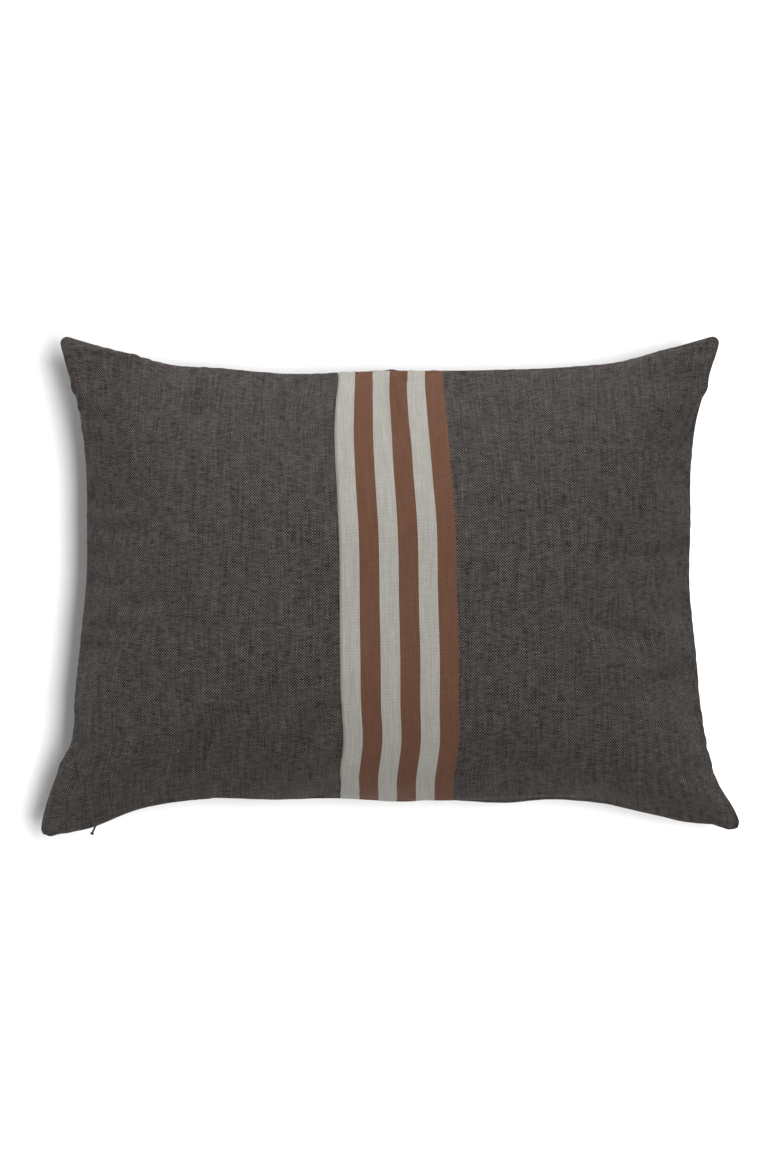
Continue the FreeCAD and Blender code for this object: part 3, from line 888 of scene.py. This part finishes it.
def kept_off_zip(sheet):
    """Points beside the zip, pushed in behind its coils and slider."""
    from_centre = sheet[..., :2] - ZIP_CENTRE
    radius = np.linalg.norm(from_centre, axis=2)
    off_level = np.abs(sheet[..., 2] - SEAM_Z)
    wanted = ZIP_RADIUS + RECESS - RECESS_RELIEF * ramp(off_level, RECESS_HALF, RECESS_END)
    pushed = sheet.copy()
    pushed[..., :2] = ZIP_CENTRE + from_centre * (np.maximum(radius, wanted) / radius)[..., None]
    return pushed


insert_front, insert_back = map(kept_off_zip, layer_inside(INSERT_SHARE, INSERT_GAP, THINNEST_BAG))
bag_front = cloth_piece("insert_bag_front", insert_front, all_columns, 1, CASING)
bag_back = cloth_piece("insert_bag_back", insert_back, all_columns, -1, CASING)
white_cotton = woven("white_cotton", (0.80, 0.79, 0.75), (0.72, 0.71, 0.67), 0.0004, slub=0.25,
                     relief=0.00006, roughness=0.8, sheen=0.1)
for bag, node in ((bag_front, "insert_casing_front"), (bag_back, "insert_casing_back")):
    bag.data.materials.append(white_cotton)
    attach(bag, "pillow")
    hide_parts(node)

fill_front, fill_back = map(kept_off_zip, layer_inside(
    INSERT_SHARE - FILL_SHORT, INSERT_GAP + CASING + FILL_GAP, THINNEST_FILL))
rim = np.zeros(fill_front.shape[:2], bool)
rim[0] = rim[-1] = True
rim[:, 0] = rim[:, -1] = True
front_index = np.arange(rim.size).reshape(rim.shape)
back_index = front_index.copy()
back_index[~rim] = rim.size + np.arange((~rim).sum())
mesh = bpy.data.meshes.new("insert_filling")
mesh.from_pydata(np.concatenate([fill_front.reshape(-1, 3), fill_back[~rim]]).tolist(), [],
                 np.concatenate([grid_faces(front_index), grid_faces(back_index, flip=True)]).tolist())
filling = bpy.data.objects.new("insert_filling", mesh)
bpy.context.collection.objects.link(filling)
bpy.ops.object.select_all(action="DESELECT")
bpy.context.view_layer.objects.active = filling
filling.select_set(True)
bpy.ops.object.shade_smooth()

fluff = bpy.data.materials.new("polyester_fluff")
fluff.use_nodes = True
tree = fluff.node_tree
surface = tree.nodes["Principled BSDF"]
place = add(tree, "ShaderNodeTexCoord").outputs["Object"]
fibres = add(tree, "ShaderNodeTexNoise", {"Vector": place, "Scale": 420.0, "Detail": 5.0,
                                          "Distortion": 2.5})
clumps = add(tree, "ShaderNodeTexNoise", {"Vector": place, "Scale": 45.0, "Detail": 2.0})
# Fibre and clump noise, used both as the bump's height and as the colour: the fill has an uneven tone, and
# its hollows are painted grey, which is painted shade.
tone_and_painted_shade = calc(tree, "ADD", calc(tree, "MULTIPLY", fibres.outputs[0], 0.6),
             calc(tree, "MULTIPLY", clumps.outputs[0], 0.4))
fluff_colour = tint(tree, tone_and_painted_shade, (0.62, 0.62, 0.60, 1), (0.93, 0.93, 0.91, 1))
tree.links.new(fluff_colour, surface.inputs["Base Color"])
bump = add(tree, "ShaderNodeBump", {"Height": tone_and_painted_shade, "Strength": 0.7, "Distance": 0.002})
tree.links.new(bump.outputs[0], surface.inputs["Normal"])
surface.inputs["Roughness"].default_value = 0.95
surface.inputs["Sheen Weight"].default_value = 0.3
filling.data.materials.append(fluff)
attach(filling, "pillow")
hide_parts("insert_fill")


# ---------------------------------------------------------------- zip: tapes, stops, stitching, label
# Two woven polyester tapes are sewn inside the slit, each holding one nylon coil.  Crimped
# stops end the coils, and a blank satin care label is caught in beside the right-hand end.

zip_tape_weave = woven("zip_tape_weave", (0.03, 0.027, 0.026), (0.045, 0.041, 0.038), 0.00035,
                       slub=0.5, relief=0.00008, roughness=0.75, sheen=0.05, on_cut=False)
label_satin = woven("label_satin", (0.78, 0.77, 0.74), (0.70, 0.69, 0.66), 0.00022, slub=0.2,
                    relief=0.00003, roughness=0.35, sheen=0.0, on_cut=False)

wear, given, result = group_with(
    "worn_surface",
    [("Place", "Vector"), ("Base", "Color"), ("Worn", "Color"), ("Grain", "Float")],
    [("Color", "Color"), ("Roughness", "Float"), ("Height", "Float")])
grain = add(wear, "ShaderNodeTexNoise", {"Vector": given["Place"], "Scale": given["Grain"], "Detail": 4.0})
scuffs = add(wear, "ShaderNodeTexNoise", {"Vector": given["Place"], "Scale": 700.0, "Detail": 6.0,
                                          "Distortion": 0.6})
worn = add(wear, "ShaderNodeMapRange", {"Value": scuffs.outputs[0], "From Min": 0.56, "From Max": 0.70})
wear.links.new(tint(wear, worn.outputs[0], given["Base"], given["Worn"]), result["Color"])
wear.links.new(calc(wear, "MULTIPLY_ADD", grain.outputs[0], 0.25, 0.25), result["Roughness"])
wear.links.new(grain.outputs[0], result["Height"])


def moulded(name, base, worn, grain, metallic, relief):
    """Metal or plastic with a fine grain and lighter scuffs."""
    material = bpy.data.materials.new(name)
    material.use_nodes = True
    tree = material.node_tree
    surface = tree.nodes["Principled BSDF"]
    place = add(tree, "ShaderNodeTexCoord").outputs["Object"]
    skin = add(tree, "ShaderNodeGroup", node_tree=wear)
    tree.links.new(place, skin.inputs["Place"])
    skin.inputs["Base"].default_value = (*base, 1)
    skin.inputs["Worn"].default_value = (*worn, 1)
    skin.inputs["Grain"].default_value = grain
    tree.links.new(skin.outputs["Color"], surface.inputs["Base Color"])
    tree.links.new(skin.outputs["Roughness"], surface.inputs["Roughness"])
    bump = add(tree, "ShaderNodeBump", {"Height": skin.outputs["Height"], "Strength": 0.3,
                                        "Distance": relief})
    tree.links.new(bump.outputs[0], surface.inputs["Normal"])
    surface.inputs["Metallic"].default_value = metallic
    return material


crimped_metal = moulded("crimped_metal", (0.30, 0.29, 0.28), (0.45, 0.44, 0.42), grain=2600.0,
                        metallic=1.0, relief=0.00004)
for node, finish in (("zipper_tape_front", zip_tape_weave), ("zipper_tape_back", zip_tape_weave),
                     ("zipper_closed_end_stops", crimped_metal), ("zipper_open_end_stop", crimped_metal),
                     ("zipper_stitching", charcoal_thread), ("care_label", label_satin)):
    cad_piece = frame["nodes"][node]
    for place_in_list in range(len(cad_piece.data.materials)):
        cad_piece.data.materials[place_in_list] = finish
    if not cad_piece.data.materials:
        cad_piece.data.materials.append(finish)


# ---------------------------------------------------------------- zip: coils
# Each coil is one black nylon line wound in turns of 1.5 mm and sewn along its tape.  One turn
# is shaped, then repeated round the arc that the zip lies on.

TURN_PITCH = 0.0015
LINE_RADIUS = 0.00035
LOOSE_TURN = 0.0009             # a turn's radius as wound, and as drawn in on its tape
TURN_RADIUS = 0.00078
TURN_LEAN = math.radians(9)
COIL_DEPTH = 0.0026             # from the seam's arc to the coil's axis
coil_nylon = moulded("coil_nylon", (0.022, 0.021, 0.021), (0.06, 0.058, 0.056), grain=1800.0,
                     metallic=0.0, relief=0.00003)
hub = Vector((ZIP_CENTRE[0], ZIP_CENTRE[1], 0))

for node in ("zipper_coil_front", "zipper_coil_back"):
    low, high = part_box(node)
    coil_half = (high.x - low.x) / 2
    centre_z = (low.z + high.z) / 2
    first_angle = math.asin(coil_half / (ZIP_RADIUS + COIL_DEPTH)) - LINE_RADIUS * 1.5 / ZIP_RADIUS
    turn_angle = TURN_PITCH / (ZIP_RADIUS + COIL_DEPTH)
    bpy.ops.object.select_all(action="DESELECT")
    bpy.ops.mesh.primitive_torus_add(major_segments=10, minor_segments=5, major_radius=1.0,
                                     minor_radius=LINE_RADIUS / LOOSE_TURN, location=(0, 0, 0),
                                     rotation=(0, math.pi / 2, TURN_LEAN))
    turns = bpy.context.active_object
    turns.name = node.replace("zipper_coil", "coil_turns")
    turns.data.name = turns.name
    turns.scale = (TURN_RADIUS, TURN_RADIUS, TURN_RADIUS)
    bpy.ops.object.transform_apply(location=False, rotation=True, scale=True)
    turns.location = (ZIP_CENTRE[0], ZIP_CENTRE[1] + ZIP_RADIUS + COIL_DEPTH, centre_z)
    bpy.ops.object.transform_apply(location=True, rotation=False, scale=False)
    bpy.ops.object.mode_set(mode="EDIT")
    bpy.ops.mesh.select_all(action="SELECT")
    bpy.ops.transform.rotate(value=-first_angle, orient_axis="Z",
                             center_override=(ZIP_CENTRE[0], ZIP_CENTRE[1], 0))
    bpy.ops.mesh.normals_make_consistent(inside=False)
    bpy.ops.object.mode_set(mode="OBJECT")
    pivot = bpy.data.objects.new("turn_step", None)
    bpy.context.collection.objects.link(pivot)
    pivot.rotation_euler = (0, 0, -turn_angle)
    turned = pivot.rotation_euler.to_matrix() @ hub
    pivot.location = hub - turned
    bpy.context.view_layer.update()
    winding = turns.modifiers.new("winding", "ARRAY")
    winding.use_relative_offset = False
    winding.use_object_offset = True
    winding.offset_object = pivot
    winding.count = int(2 * first_angle / turn_angle)
    bpy.ops.object.modifier_apply(modifier="winding")
    bpy.data.objects.remove(pivot)
    bpy.ops.object.shade_smooth()
    turns.data.materials.append(coil_nylon)
    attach(turns, "pillow")
    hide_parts(node)


# ---------------------------------------------------------------- zip: slider and pull
# The slider is die cast and enamelled black, with a neck through the slit.  Its pull is a thin
# black tab that hangs out past the seam on a pin, its edges tumbled smooth.

SLIDER_SOFTENING = 0.00016
PULL_SOFTENING = 0.0003
EYE_REACH = 0.0022              # from the pin to the foot of the tab's eye
TAB_THICKER = 0.8
black_enamel = moulded("black_enamel", (0.016, 0.015, 0.016), (0.05, 0.048, 0.046), grain=2200.0,
                       metallic=0.0, relief=0.00003)


def softened_copy(node, name, softening):
    """A copy of a cast part with its edges rounded over."""
    copy = frame["nodes"][node].copy()
    copy.data = copy.data.copy()
    copy.name = copy.data.name = name
    copy.parent = None
    for key in [key for key in copy.keys() if key.startswith("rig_")]:
        del copy[key]
    copy.data.materials.clear()
    bpy.context.collection.objects.link(copy)
    bpy.ops.object.select_all(action="DESELECT")
    bpy.context.view_layer.objects.active = copy
    copy.select_set(True)
    bpy.ops.object.mode_set(mode="EDIT")
    bpy.ops.mesh.select_all(action="SELECT")
    bpy.ops.mesh.remove_doubles(threshold=0.000005)
    bpy.ops.mesh.dissolve_limited(angle_limit=math.radians(1.0))
    bpy.ops.object.mode_set(mode="OBJECT")
    edges = copy.modifiers.new("edges", "BEVEL")
    edges.width = softening
    edges.segments = 3
    edges.limit_method = "ANGLE"
    edges.angle_limit = math.radians(35)
    bpy.ops.object.modifier_apply(modifier="edges")
    bpy.ops.object.shade_smooth_by_angle(angle=math.radians(40))
    return copy


def thickened_tab(tab, pin, way):
    """The tab is cast thicker below its eye, so that it can be held."""
    side = Vector((way.y, -way.x, 0))
    for vertex in tab.data.vertices:
        below = (vertex.co - pin) @ way
        share = min(max((below - EYE_REACH) / EYE_REACH, 0), 1)
        vertex.co += side * ((vertex.co - pin) @ side) * share * TAB_THICKER


pin = Vector(next(j for j in frame["joints"] if j["name"] == "pull_swing")["pos_m"])
pull_low, pull_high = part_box("zipper_pull_tab")
pull_way = (pull_low + pull_high) / 2 - pin
pull_way.z = 0
pull_way.normalize()
for node, name, body, softening in (
        ("zipper_slider", "slider_body", "slider", SLIDER_SOFTENING),
        ("zipper_pull_tab", "pull_tab", "pull", PULL_SOFTENING)):
    cast = softened_copy(node, name, softening)
    if body == "pull":
        thickened_tab(cast, pin, pull_way)
    cast.data.materials.append(black_enamel)
    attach(cast, body)
    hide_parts(node)


bpy.ops.object.select_all(action="DESELECT")
